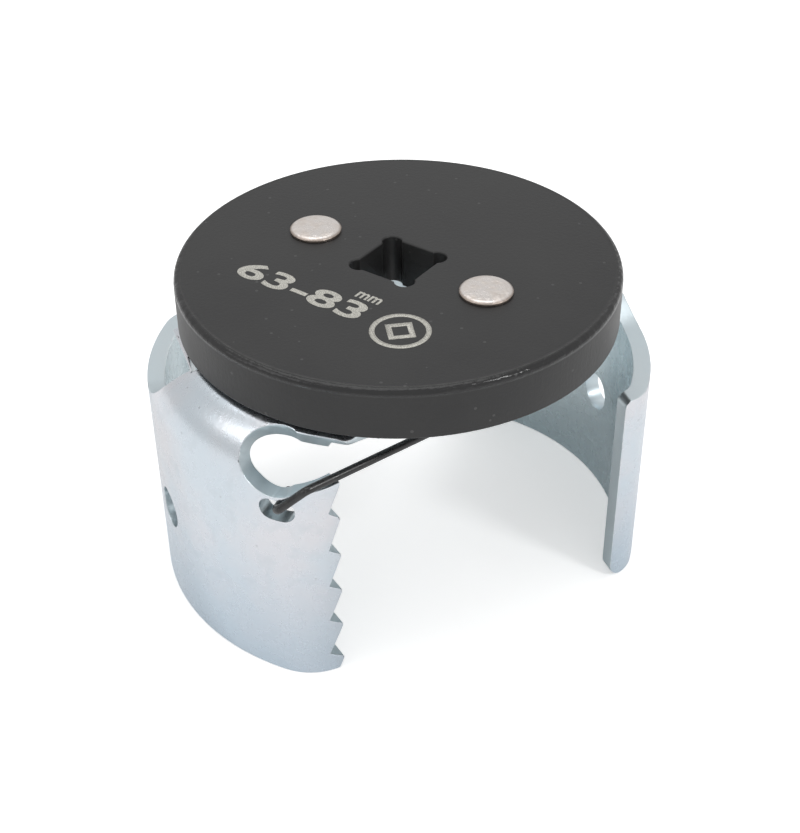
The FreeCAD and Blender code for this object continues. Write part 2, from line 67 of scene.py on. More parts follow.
# %% [markdown]
# ## Camera
# A camera is a place, a direction and a lens.  The direction is built from three plain turns: round
# the upright axis, down towards the table, and a very small lean.  A long lens keeps the round
# plate from looking stretched, as in a catalogue picture.

# %% Camera
CAMERA_PLACE = Vector((110.13, -150.48, 160.53)) * MM
CAMERA_HEADING = 36.2
CAMERA_TILT = 53.34
CAMERA_LEAN = -0.651
LENS = 65.35

camera_data = bpy.data.cameras.new("camera")
camera_data.lens = LENS
camera_data.sensor_width = 36.0
camera_data.clip_start = 0.01
camera_data.clip_end = 20.0
camera = bpy.data.objects.new("camera", camera_data)
bpy.context.scene.collection.objects.link(camera)
camera.matrix_world = (
    Matrix.Translation(CAMERA_PLACE)
    @ Matrix.Rotation(math.radians(CAMERA_HEADING), 4, "Z")
    @ Matrix.Rotation(math.radians(CAMERA_TILT), 4, "X")
    @ Matrix.Rotation(math.radians(CAMERA_LEAN), 4, "Z")
)
bpy.context.scene.camera = camera
bpy.context.scene.view_settings.view_transform = "Standard"
print("camera stands", round(CAMERA_PLACE.length, 3), "m from the origin")

# %% [markdown]
# ## Node helpers
# A material in Blender is a small graph.  Two helpers keep the graphs readable: one adds a node and
# sets its options, the other either links a socket or gives it a plain value.

# %% Node helpers
def add_node(tree, kind, **options):
    """Add a node and set its options by name."""
    node = tree.nodes.new(kind)
    for option, value in options.items():
        setattr(node, option, value)
    return node


def feed(tree, socket, value):
    """Link value into a socket if it is another socket, or else store it there."""
    if isinstance(value, bpy.types.NodeSocket):
        tree.links.new(value, socket)
    else:
        socket.default_value = value


def math_node(tree, operation, first, second):
    """A Math node's output."""
    node = add_node(tree, "ShaderNodeMath", operation=operation)
    feed(tree, node.inputs[0], first)
    feed(tree, node.inputs[1], second)
    return node.outputs[0]


def spread(tree, value, low, high, new_low=0.0, new_high=1.0):
    """Map Range with soft ends: value from low..high becomes new_low..new_high."""
    node = add_node(tree, "ShaderNodeMapRange", interpolation_type="SMOOTHSTEP")
    for socket, number in zip(node.inputs[:5], (value, low, high, new_low, new_high)):
        feed(tree, socket, number)
    return node.outputs["Result"]


def mix_colour(tree, mask, first, second):
    """Mix two colours by a mask."""
    node = add_node(tree, "ShaderNodeMix", data_type="RGBA")
    feed(tree, node.inputs["Factor"], mask)
    feed(tree, node.inputs["A"], first)
    feed(tree, node.inputs["B"], second)
    return node.outputs["Result"]


def noise(tree, vector, scale, detail=3.0, roughness=0.55):
    """A noise texture's value, 0 to 1."""
    node = add_node(tree, "ShaderNodeTexNoise")
    feed(tree, node.inputs["Vector"], vector)
    feed(tree, node.inputs["Scale"], scale)
    feed(tree, node.inputs["Detail"], detail)
    feed(tree, node.inputs["Roughness"], roughness)
    return node.outputs["Fac"]


def new_group(name, inputs, outputs):
    """A shader node group with named sockets; returns the tree and its two ends."""
    group = bpy.data.node_groups.new(name, "ShaderNodeTree")
    for label, kind, value in inputs:
        socket = group.interface.new_socket(label, in_out="INPUT", socket_type=kind)
        if value is not None:
            socket.default_value = value
    for label, kind in outputs:
        group.interface.new_socket(label, in_out="OUTPUT", socket_type=kind)
    return group, group.nodes.new("NodeGroupInput"), group.nodes.new("NodeGroupOutput")


def place_group(tree, group, **values):
    """Put a group in a material with its own values; spaces in names are underscores here."""
    node = add_node(tree, "ShaderNodeGroup", node_tree=group)
    for label, value in values.items():
        feed(tree, node.inputs[label.replace("_", " ")], value)
    return node


VECTOR, NUMBER = "NodeSocketVector", "NodeSocketFloat"

# %% [markdown]
# ## Effects that several finishes share
# Plated, painted and oiled steel all have the same three things on different scales: soft clouds of
# another tint, a fine grain, and edges rubbed brighter by handling; on the zinc the brighter edges are
# also a painted highlight.  Each is a node group, built once, so that every material can place it
# with its own numbers.
# The edge wear group compares the true normal with one rounded by the Bevel node: where they
# differ, there is an edge.  A noise breaks the line up, as real handling does.

# %% Shared groups
clouds, start, end = new_group(
    "Clouds",
    [("Vector", VECTOR, None), ("Scale", NUMBER, 100.0),
     ("Low", NUMBER, 0.35), ("High", NUMBER, 0.65)],
    [("Mask", NUMBER)],
)
broad = noise(clouds, start.outputs["Vector"], start.outputs["Scale"], 4.0)
patchy = spread(clouds, broad, start.outputs["Low"], start.outputs["High"])
clouds.links.new(patchy, end.inputs["Mask"])

grain, start, end = new_group(
    "Fine grain",
    [("Vector", VECTOR, None), ("Scale", NUMBER, 2000.0), ("Softness", NUMBER, 0.5)],
    [("Height", NUMBER)],
)
coarse = noise(grain, start.outputs["Vector"], start.outputs["Scale"], 2.0)
fine_scale = math_node(grain, "MULTIPLY", start.outputs["Scale"], 3.1)
fine = noise(grain, start.outputs["Vector"], fine_scale, 1.0)
kept_fine = math_node(grain, "SUBTRACT", 1.0, start.outputs["Softness"])
height = math_node(grain, "ADD", coarse, math_node(grain, "MULTIPLY", fine, kept_fine))
grain.links.new(height, end.inputs["Height"])

edge_wear, start, end = new_group(
    "Edge wear",
    [("Vector", VECTOR, None), ("Radius", NUMBER, 0.0004), ("Break up", NUMBER, 900.0)],
    [("Mask", NUMBER)],
)
rounded = add_node(edge_wear, "ShaderNodeBevel", samples=6)
edge_wear.links.new(start.outputs["Radius"], rounded.inputs["Radius"])
true_normal = add_node(edge_wear, "ShaderNodeNewGeometry").outputs["Normal"]
alike = add_node(edge_wear, "ShaderNodeVectorMath", operation="DOT_PRODUCT")
feed(edge_wear, alike.inputs[0], rounded.outputs["Normal"])
feed(edge_wear, alike.inputs[1], true_normal)
on_edge = spread(edge_wear, alike.outputs["Value"], 0.995, 0.86)
broken = noise(edge_wear, start.outputs["Vector"], start.outputs["Break up"], 3.0)
patchy_edge = math_node(edge_wear, "MULTIPLY", on_edge, spread(edge_wear, broken, 0.3, 0.6))
edge_wear.links.new(patchy_edge, end.inputs["Mask"])

specks, start, end = new_group(
    "Specks",
    [("Vector", VECTOR, None), ("Scale", NUMBER, 400.0),
     ("Size", NUMBER, 0.12), ("Share", NUMBER, 0.3)],
    [("Mask", NUMBER)],
)
cells = add_node(specks, "ShaderNodeTexVoronoi")
feed(specks, cells.inputs["Vector"], start.outputs["Vector"])
feed(specks, cells.inputs["Scale"], start.outputs["Scale"])
near = math_node(specks, "LESS_THAN", cells.outputs["Distance"], start.outputs["Size"])
split = add_node(specks, "ShaderNodeSeparateColor")
feed(specks, split.inputs[0], cells.outputs["Color"])
chosen = math_node(specks, "LESS_THAN", split.outputs[0], start.outputs["Share"])
specks.links.new(math_node(specks, "MULTIPLY", near, chosen), end.inputs["Mask"])
print("shared groups:", [group.name for group in bpy.data.node_groups])


# %% [markdown]
# ## Starting a material
# Every finish here is metal under something thin, so each starts from the same three nodes: object
# coordinates, a Principled shader and the output.  Numbers that are the same all over the surface
# are typed straight into the shader's own sockets.

# %% Material starter
def new_finish(name, metallic, roughness, specular=0.5):
    """A material with its Principled shader; returns material, tree, shader and coordinates."""
    material = bpy.data.materials.new(name)
    material.use_nodes = True
    tree = material.node_tree
    shader = tree.nodes["Principled BSDF"]
    shader.inputs["Metallic"].default_value = metallic
    shader.inputs["Roughness"].default_value = roughness
    shader.inputs["Specular IOR Level"].default_value = specular
    place = add_node(tree, "ShaderNodeTexCoord").outputs["Object"]
    return material, tree, shader, place


def bump(tree, shader, height, distance):
    """Feed a height through a Bump node into the shader's normal."""
    node = add_node(tree, "ShaderNodeBump")
    node.inputs["Distance"].default_value = distance
    tree.links.new(height, node.inputs["Height"])
    tree.links.new(node.outputs["Normal"], shader.inputs["Normal"])


def attribute(tree, name):
    """A number stored on the mesh's faces."""
    return add_node(tree, "ShaderNodeAttribute", attribute_name=name).outputs["Fac"]


# %% [markdown]
# ## Zinc plated sheet
# Bright zinc plating is a milky silver with a passivation film a fraction of a micron thick, which
# tints it pink in one place and blue in the next.  The colour is also made darker and bluer towards
# the bottom of the jaws.  Inside the jaws and on the sheared edges a painted reflection tints the
# sheet teal grey, lighter inside and darker on the edges; the sheared edges are also rougher.  The
# mesh carries two numbers on its faces, `inside_face` and `cut_face`, and the material tints by them.

# %% Zinc plated sheet
COOL_ZINC = (0.64, 0.705, 0.76, 1)
PINK_ZINC = (0.715, 0.715, 0.745, 1)
HAZE_ZINC = (0.575, 0.625, 0.665, 1)
INSIDE_PAINTED_REFLECTION = (0.70, 0.80, 0.83, 1)
CUT_PAINTED_REFLECTION = (0.60, 0.68, 0.71, 1)
RUBBED_AND_HIGHLIGHT_ZINC = (0.86, 0.88, 0.90, 1)
SPECK_ZINC = (0.33, 0.34, 0.36, 1)
LOW_DOWN_ZINC = (0.53, 0.62, 0.70, 1)

zinc, tree, shader, place = new_finish("zinc_plated_sheet", 1.0, 0.4)
tint = place_group(tree, clouds, Vector=place, Scale=70.0, Low=0.36, High=0.66).outputs["Mask"]
haze = place_group(tree, clouds, Vector=place, Scale=420.0, Low=0.45, High=0.8).outputs["Mask"]
colour = mix_colour(tree, tint, COOL_ZINC, PINK_ZINC)
colour = mix_colour(tree, math_node(tree, "MULTIPLY", haze, 0.4), colour, HAZE_ZINC)
parts = add_node(tree, "ShaderNodeSeparateXYZ")
feed(tree, parts.inputs[0], place)
# Darker and bluer towards the bottom of the jaws.
low_down = spread(tree, parts.outputs["Z"], 28 * MM, 2 * MM)
colour = mix_colour(tree, math_node(tree, "MULTIPLY", low_down, 0.7), colour, LOW_DOWN_ZINC)
inside = attribute(tree, "inside_face")
cut = attribute(tree, "cut_face")
# Painted reflection: the inner faces get a lighter teal tint in place of what they reflect.
colour = mix_colour(tree, math_node(tree, "MULTIPLY", inside, 0.85), colour, INSIDE_PAINTED_REFLECTION)
# Painted reflection: the sheared edges get a darker teal tint.
colour = mix_colour(tree, math_node(tree, "MULTIPLY", cut, 0.8), colour, CUT_PAINTED_REFLECTION)
dots = place_group(tree, specks, Vector=place, Scale=520.0, Size=0.1, Share=0.1).outputs["Mask"]
colour = mix_colour(tree, math_node(tree, "MULTIPLY", dots, 0.35), colour, SPECK_ZINC)
# Worn edges and painted highlight: the sharp edges of the jaws are made brighter, broken up by noise.
rubbed = place_group(tree, edge_wear, Vector=place, Radius=0.00035, Break_up=700.0).outputs["Mask"]
colour = mix_colour(tree, math_node(tree, "MULTIPLY", rubbed, 0.6), colour, RUBBED_AND_HIGHLIGHT_ZINC)
tree.links.new(colour, shader.inputs["Base Color"])
rough = spread(tree, haze, 0.0, 1.0, 0.27, 0.36)
rough = math_node(tree, "ADD", rough, math_node(tree, "MULTIPLY", cut, 0.1))
tree.links.new(rough, shader.inputs["Roughness"])
skin = place_group(tree, grain, Vector=place, Scale=1500.0, Softness=0.5).outputs["Height"]
bump(tree, shader, skin, 0.00002)
print("zinc plated sheet ready")

# %% [markdown]
# ## Black plate
# The plate is forged, then blacked and sealed: a satin skin with a slight orange peel on the flat
# faces and fine upright streaks on its rim, where it was turned.  Along the upper edge the coating
# gathers in a thin, glossy and slightly uneven line.  The three zones are found from the object
# coordinates: distance from the drive axis, and height.

# %% Black plate
plate_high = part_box("drive_plate")[1]
plate_radius = plate_high.x

black, tree, shader, place = new_finish("blacked_plate", 0.0, 0.4, specular=0.42)
parts = add_node(tree, "ShaderNodeSeparateXYZ")
feed(tree, parts.inputs[0], place)
flat = add_node(tree, "ShaderNodeCombineXYZ")
feed(tree, flat.inputs["X"], parts.outputs["X"])
feed(tree, flat.inputs["Y"], parts.outputs["Y"])
reach = add_node(tree, "ShaderNodeVectorMath", operation="LENGTH")
feed(tree, reach.inputs[0], flat.outputs[0])
radius_here = reach.outputs["Value"]
near_side = spread(tree, radius_here, plate_radius - 0.5 * MM, plate_radius - 0.05 * MM)
near_edge = spread(tree, radius_here, plate_radius - 1.3 * MM, plate_radius - 0.6 * MM)
high_up = spread(tree, parts.outputs["Z"], plate_high.z - 1.2 * MM, plate_high.z - 0.7 * MM)
lip = math_node(tree, "MULTIPLY", near_edge, high_up)

patches = place_group(tree, clouds, Vector=place, Scale=60.0, Low=0.3, High=0.7).outputs["Mask"]
colour = mix_colour(tree, patches, (0.014, 0.014, 0.0145, 1), (0.021, 0.021, 0.021, 1))
dust = place_group(tree, specks, Vector=place, Scale=700.0, Size=0.16, Share=0.12).outputs["Mask"]
colour = mix_colour(tree, math_node(tree, "MULTIPLY", dust, 0.35), colour, (0.10, 0.10, 0.10, 1))
worn = place_group(tree, edge_wear, Vector=place, Radius=0.0003, Break_up=1500.0).outputs["Mask"]
colour = mix_colour(tree, math_node(tree, "MULTIPLY", worn, 0.25), colour, (0.12, 0.12, 0.12, 1))
tree.links.new(colour, shader.inputs["Base Color"])

peel = place_group(tree, grain, Vector=place, Scale=1700.0, Softness=0.4).outputs["Height"]
stretched = add_node(tree, "ShaderNodeMapping")
stretched.inputs["Scale"].default_value = (1.0, 1.0, 0.04)
feed(tree, stretched.inputs["Vector"], place)
streaks = noise(tree, stretched.outputs[0], 2600.0, 2.0)
ripple = noise(tree, place, 520.0, 2.0)
side_streaks = math_node(tree, "MULTIPLY", streaks, near_side)
lip_ripple = math_node(tree, "MULTIPLY", ripple, lip)
height = math_node(tree, "ADD", math_node(tree, "MULTIPLY", peel, 0.8),
                   math_node(tree, "MULTIPLY", side_streaks, 0.5))
height = math_node(tree, "ADD", height, math_node(tree, "MULTIPLY", lip_ripple, 6.0))
bump(tree, shader, height, 0.00003)
rough = spread(tree, patches, 0.0, 1.0, 0.40, 0.47)
rough = math_node(tree, "SUBTRACT", rough, math_node(tree, "MULTIPLY", lip, 0.24))
tree.links.new(rough, shader.inputs["Roughness"])
print("black plate ready, radius", round(plate_radius / MM, 2), "mm")

# %% [markdown]
# ## Rivets, washers, wire and marks
# The rivets are cold headed, so their tops are bright and a little bruised by the die.  The washers
# are plain rolled steel.  The spring wire is oil tempered: black, smooth and glossy.  The marks on
# the plate are burnt into the black by a laser, which leaves a fine speckled silver grey.

# %% Small finishes
rivet_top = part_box("left_pivot_rivet")[1].z
rivet_steel, tree, shader, place = new_finish("headed_rivet_steel", 1.0, 0.3)
bruise = place_group(tree, clouds, Vector=place, Scale=650.0, Low=0.35, High=0.7).outputs["Mask"]
colour = mix_colour(tree, bruise, (0.80, 0.755, 0.725, 1), (0.66, 0.60, 0.555, 1))
parts = add_node(tree, "ShaderNodeSeparateXYZ")
feed(tree, parts.inputs[0], place)
below_top = spread(tree, parts.outputs["Z"], rivet_top - 0.1 * MM, rivet_top - 0.3 * MM)
in_head = spread(tree, parts.outputs["Z"], rivet_top - 1.0 * MM, rivet_top - 0.8 * MM)
bevel = math_node(tree, "MULTIPLY", below_top, in_head)
colour = mix_colour(tree, math_node(tree, "MULTIPLY", bevel, 0.75), colour, (0.30, 0.235, 0.19, 1))
rubbed = place_group(tree, edge_wear, Vector=place, Radius=0.0003, Break_up=900.0).outputs["Mask"]
colour = mix_colour(tree, math_node(tree, "MULTIPLY", rubbed, 0.5), colour, (0.86, 0.83, 0.80, 1))
tree.links.new(colour, shader.inputs["Base Color"])
tree.links.new(spread(tree, bruise, 0.0, 1.0, 0.26, 0.42), shader.inputs["Roughness"])
dents = place_group(tree, grain, Vector=place, Scale=700.0, Softness=0.3).outputs["Height"]
bump(tree, shader, dents, 0.00008)

washer_steel, tree, shader, place = new_finish("rolled_washer_steel", 1.0, 0.35)
rolled = place_group(tree, clouds, Vector=place, Scale=300.0, Low=0.35, High=0.65).outputs["Mask"]
colour = mix_colour(tree, rolled, (0.62, 0.63, 0.64, 1), (0.50, 0.51, 0.53, 1))
tree.links.new(colour, shader.inputs["Base Color"])
tree.links.new(spread(tree, rolled, 0.0, 1.0, 0.3, 0.42), shader.inputs["Roughness"])
skin = place_group(tree, grain, Vector=place, Scale=2500.0, Softness=0.5).outputs["Height"]
bump(tree, shader, skin, 0.00001)

wire_black, tree, shader, place = new_finish("oil_tempered_wire", 0.0, 0.25, specular=0.6)
oil = place_group(tree, clouds, Vector=place, Scale=500.0, Low=0.35, High=0.7).outputs["Mask"]
colour = mix_colour(tree, oil, (0.006, 0.006, 0.0065, 1), (0.016, 0.016, 0.016, 1))
rubbed = place_group(tree, specks, Vector=place, Scale=1500.0, Size=0.2, Share=0.1).outputs["Mask"]
colour = mix_colour(tree, math_node(tree, "MULTIPLY", rubbed, 0.3), colour, (0.10, 0.10, 0.10, 1))
tree.links.new(colour, shader.inputs["Base Color"])
tree.links.new(spread(tree, oil, 0.0, 1.0, 0.2, 0.34), shader.inputs["Roughness"])
skin = place_group(tree, grain, Vector=place, Scale=3000.0, Softness=0.5).outputs["Height"]
bump(tree, shader, skin, 0.00001)

burnt, tree, shader, place = new_finish("laser_burnt_mark", 0.55, 0.5)
speckle = noise(tree, place, 6500.0, 2.0, 0.7)
colour = mix_colour(tree, spread(tree, speckle, 0.4, 0.6), (0.30, 0.29, 0.26, 1), (0.62, 0.61, 0.56, 1))
tree.links.new(colour, shader.inputs["Base Color"])
tree.links.new(spread(tree, speckle, 0.3, 0.7, 0.42, 0.6), shader.inputs["Roughness"])
bump(tree, shader, speckle, 0.00001)
print("finishes:", sorted(material.name for material in bpy.data.materials))


# %% [markdown]
# ## Easing the edges of pressed parts
# The jaws and the plate have exact shapes in the CAD model, so they aren't modelled again.  A copy
# of the CAD mesh is welded, because it comes as loose triangles, its flat areas are merged into
# single faces, and its sharp edges are given the tiny round that stamping and plating leave.  That
# round is what catches the light on real sheet metal.

# %% Eased copies of CAD pieces
WELD = 2e-6
FLAT_ANGLE = math.radians(0.3)
EDGE_ANGLE = math.radians(32)
THICKNESS_SLACK = 0.06
FACING = 0.9


def welded(node):
    """The CAD node's triangles as one closed bmesh."""
    source = frame["nodes"][node].data
    shape = bmesh.new()
    points = [shape.verts.new(vertex.co) for vertex in source.vertices]
    for polygon in source.polygons:
        shape.faces.new([points[index] for index in polygon.vertices])
    bmesh.ops.remove_doubles(shape, verts=shape.verts[:], dist=WELD)
    bmesh.ops.dissolve_degenerate(shape, edges=shape.edges[:], dist=5 * WELD)
    return shape


def smooth_regions(shape):
    """Groups of faces that meet without a sharp edge between them."""
    regions = []
    waiting = set(shape.faces)
    while waiting:
        region = [waiting.pop()]
        for face in region:
            for edge in face.edges:
                if edge.is_manifold and edge.calc_face_angle() < EDGE_ANGLE:
                    near = [other for other in edge.link_faces if other in waiting]
                    waiting.difference_update(near)
                    region.extend(near)
        regions.append(region)
    return regions


def mark_sheet_faces(shape, sheet, middle):
    """Store which faces are the inner side of the sheet and which are its sheared edge.

    Each smooth region is marked as a whole, by what most of its area is.
    """
    inside_layer = shape.faces.layers.float.new("inside_face")
    cut_layer = shape.faces.layers.float.new("cut_face")
    shape.normal_update()
    lookup = BVHTree.FromBMesh(shape)
    for region in smooth_regions(shape):
        area = {"outside": 0.0, "inside": 0.0, "cut": 0.0}
        for face in region:
            centre = face.calc_center_median()
            start = centre - face.normal * WELD
            place, normal, index, distance = lookup.ray_cast(start, -face.normal, 2 * sheet)
            through = place is not None and abs(distance - sheet) < THICKNESS_SLACK * sheet
            if not through or normal.dot(face.normal) > -FACING:
                kind = "cut"
            elif face.normal.dot(middle - centre) > 0:
                kind = "inside"
            else:
                kind = "outside"
            area[kind] += face.calc_area()
        kind = max(area, key=area.get)
        for face in region:
            face[cut_layer] = float(kind == "cut")
            face[inside_layer] = float(kind == "inside")


def ease_edges(shape, edge_round):
    """Merge the flat areas and round every sharp edge."""
    bmesh.ops.dissolve_limit(
        shape, angle_limit=FLAT_ANGLE, verts=shape.verts[:], edges=shape.edges[:]
    )
    sharp = [edge for edge in shape.edges
             if edge.is_manifold and edge.calc_face_angle() > EDGE_ANGLE]
    bmesh.ops.bevel(
        shape, geom=sharp, offset=edge_round, offset_type="OFFSET", segments=2, profile=0.5,
        affect="EDGES", clamp_overlap=False, loop_slide=True,
    )
    return len(sharp)


def finished_piece(name, mesh, material, body, slot, *nodes):
    """Link a finished mesh, give it its material and hand it to its body."""
    mesh.materials.clear()
    mesh.materials.append(material)
    piece = bpy.data.objects.new(name, mesh)
    bpy.context.scene.collection.objects.link(piece)
    if body:
        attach(piece, body)
    if nodes:
        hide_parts(*nodes)
    print(name, "has", len(mesh.polygons), "faces")
    return piece


def even_shading(mesh, angle=EDGE_ANGLE):
    """Smooth shading that stops at sharp edges and keeps large flat faces flat."""
    mesh.shade_smooth()
    mesh.set_sharp_from_angle(angle=angle)
    holder = bpy.data.objects.new("holder", mesh)
    bpy.context.scene.collection.objects.link(holder)
    weighted = holder.modifiers.new("weighted", "WEIGHTED_NORMAL")
    weighted.keep_sharp = True
    weighted.weight = 100
    graph = bpy.context.evaluated_depsgraph_get()
    result = bpy.data.meshes.new_from_object(holder.evaluated_get(graph))
    bpy.data.objects.remove(holder)
    return result


def eased_mesh(node, edge_round, sheet=None, middle=None):
    """The whole treatment for one CAD node."""
    shape = welded(node)
    if sheet:
        mark_sheet_faces(shape, sheet, middle)
    count = ease_edges(shape, edge_round) if edge_round else 0
    mesh = bpy.data.meshes.new(node + "_eased")
    shape.to_mesh(mesh)
    shape.free()
    print(node, "sharp edges eased:", count)
    return even_shading(mesh)


# %% [markdown]
# ## Jaws
# Each jaw is one stamping: a round toothed wall, bent over at the top into a flat flange that
# reaches the rivet.  A ray sent through the sheet from each face tells the rolled sides, where it
# comes out one sheet thickness away, from the sheared edge.  Faces that meet smoothly are marked
# together, by what most of their area is.

# %% Jaws
SHEET = 2.6 * MM
JAW_EDGE_ROUND = 0.16 * MM
WALL_CENTRE = Vector((-1.88, -2.01, 15.0)) * MM

for side, turn in (("left", 1), ("right", -1)):
    middle = Vector((turn * WALL_CENTRE.x, turn * WALL_CENTRE.y, WALL_CENTRE.z))
    mesh = eased_mesh(side + "_jaw", JAW_EDGE_ROUND, SHEET, middle)
    finished_piece(side + "_jaw_sheet", mesh, zinc, side + "_jaw_body", "zinc_sheet", side + "_jaw")

# %% [markdown]
# ## Plate
# The plate keeps its CAD shape as well.  Its rim and the rims of its square hole are already round
# in the CAD model, so its triangles are only welded and shaded smooth.

# %% Plate
mesh = eased_mesh("drive_plate", 0.0)
finished_piece("drive_plate_black", mesh, black, "drive", "plate_black", "drive_plate")


# %% [markdown]
# ## Turned parts by geometry nodes
# A rivet and a washer are both turned parts: an outline swept once round an axis.  One geometry
# node tree makes any of them, and places a copy on each point it is given.  The tree sweeps the
# outline along a very small circle, merges the points that meet on the axis, and copies the result
# to both pivots.  The same tree with four facets makes a square ring.

# %% Turned part tree
def new_tree(name, inputs):
    """A geometry node tree with one geometry in and out, and named inputs for its sizes."""
    made = bpy.data.node_groups.new(name, "GeometryNodeTree")
    made.interface.new_socket("Geometry", in_out="INPUT", socket_type="NodeSocketGeometry")
    for label, kind in inputs:
        made.interface.new_socket(label, in_out="INPUT", socket_type="NodeSocket" + kind)
    made.interface.new_socket("Geometry", in_out="OUTPUT", socket_type="NodeSocketGeometry")
    return made, made.nodes.new("NodeGroupInput"), made.nodes.new("NodeGroupOutput")


def finish_tree(tree, geometry, entry, leave):
    """Every tree ends in Realize Instances and Set Material."""
    real = add_node(tree, "GeometryNodeRealizeInstances")
    coated = add_node(tree, "GeometryNodeSetMaterial")
    tree.links.new(geometry, real.inputs[0])
    tree.links.new(real.outputs[0], coated.inputs["Geometry"])
    tree.links.new(entry.outputs["Material"], coated.inputs["Material"])
    tree.links.new(coated.outputs[0], leave.inputs["Geometry"])


CORE = 1.0 * MM
AXIS_MERGE = 1e-6

turned_part, start, end = new_tree(
    "Turned part",
    [("Outline", "Object"), ("Core Radius", "Float"), ("Facets", "Int"), ("Material", "Material")],
)
outline = add_node(turned_part, "GeometryNodeObjectInfo")
feed(turned_part, outline.inputs["Object"], start.outputs["Outline"])
circle = add_node(turned_part, "GeometryNodeCurvePrimitiveCircle")
feed(turned_part, circle.inputs["Resolution"], start.outputs["Facets"])
feed(turned_part, circle.inputs["Radius"], start.outputs["Core Radius"])
upright = add_node(turned_part, "GeometryNodeSetCurveNormal", mode="Z_UP")
feed(turned_part, upright.inputs["Curve"], circle.outputs["Curve"])
swept = add_node(turned_part, "GeometryNodeCurveToMesh")
feed(turned_part, swept.inputs["Curve"], upright.outputs["Curve"])
feed(turned_part, swept.inputs["Profile Curve"], outline.outputs["Geometry"])
joined = add_node(turned_part, "GeometryNodeMergeByDistance")
feed(turned_part, joined.inputs["Geometry"], swept.outputs["Mesh"])
joined.inputs["Distance"].default_value = AXIS_MERGE
copies = add_node(turned_part, "GeometryNodeInstanceOnPoints")
feed(turned_part, copies.inputs["Points"], start.outputs["Geometry"])
feed(turned_part, copies.inputs["Instance"], joined.outputs["Geometry"])
finish_tree(turned_part, copies.outputs["Instances"], start, end)


def run_tree(holder, tree, values):
    """Run a tree on an object with inputs set by their identifiers, and return a plain mesh."""
    modifier = holder.modifiers.new(tree.name, "NODES")
    modifier.node_group = tree
    for item in tree.interface.items_tree:
        if item.item_type == "SOCKET" and item.in_out == "INPUT" and item.name in values:
            modifier[item.identifier] = values[item.name]
    bpy.context.scene.collection.objects.link(holder)
    graph = bpy.context.evaluated_depsgraph_get()
    mesh = bpy.data.meshes.new_from_object(holder.evaluated_get(graph))
    bpy.data.objects.remove(holder)
    return mesh


def outline_curve(points, closed):
    """An outline of (radius, height) points as a flat curve, for the tree to sweep."""
    curve = bpy.data.curves.new("outline", "CURVE")
    curve.dimensions = "3D"
    spline = curve.splines.new("POLY")
    spline.points.add(len(points) - 1)
    for point, (radius, level) in zip(spline.points, points):
        point.co = (radius - CORE, -level, 0, 1)
    spline.use_cyclic_u = closed
    holder = bpy.data.objects.new("outline", curve)
    bpy.context.scene.collection.objects.link(holder)
    return holder


def closed_outwards(mesh):
    """Merge doubles, turn all faces outwards and report what stayed open."""
    shape = bmesh.new()
    shape.from_mesh(mesh)
    bmesh.ops.remove_doubles(shape, verts=shape.verts[:], dist=WELD / 2)
    bmesh.ops.recalc_face_normals(shape, faces=shape.faces[:])
    loose = sum(1 for edge in shape.edges if not edge.is_manifold)
    volume = shape.calc_volume(signed=True)
    shape.to_mesh(mesh)
    shape.free()
    print(f"open edges {loose}, volume {volume / MM ** 3:.1f} cubic mm")
    return mesh


def turned_copies(points, closed, centres, facets, material):
    """A turned part at each centre, as one mesh."""
    outline_object = outline_curve(points, closed)
    spots = bpy.data.meshes.new("spots")
    spots.from_pydata([Vector(centre) for centre in centres], [], [])
    mesh = run_tree(bpy.data.objects.new("spots", spots), turned_part, {
        "Outline": outline_object, "Core Radius": CORE, "Facets": facets, "Material": material})
    bpy.data.objects.remove(outline_object)
    return closed_outwards(mesh)


# %% [markdown]
# ## Rivets and washers
# Each rivet is a shoulder rivet.  From below: a foot that holds the spring, a collar inside the
# coil, a journal that the jaw turns on, a tenon through the plate, and the formed head.  Corners
# that the die touches get a short arc instead of a sharp step.

# %% Rivets and washers
def with_arcs(corners, steps=4):
    """Replace each corner (radius, level, round) by a short tangent arc."""
    out = []
    for index, (radius, level, ease) in enumerate(corners):
        here = Vector((radius, level))
        if not ease:
            out.append(here)
            continue
        before = Vector(corners[index - 1][:2]) - here
        after = Vector(corners[(index + 1) % len(corners)][:2]) - here
        first, last = here + before.normalized() * ease, here + after.normalized() * ease
        for step in range(steps + 1):
            share = step / steps
            out.append(first.lerp(here, share).lerp(here.lerp(last, share), share))
    return [(point.x, point.y) for point in out]


pivot_x = {joint["child"]: joint["pos_m"][0] for joint in frame["joints"]}
pivots = [(pivot_x[side + "_jaw_body"], 0.0, 0.0) for side in ("left", "right")]
rivet_low, rivet_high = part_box("left_pivot_rivet")
washer_low, washer_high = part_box("left_pivot_washer")
jaw_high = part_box("left_jaw")[1]
print("pivots at", pivots)

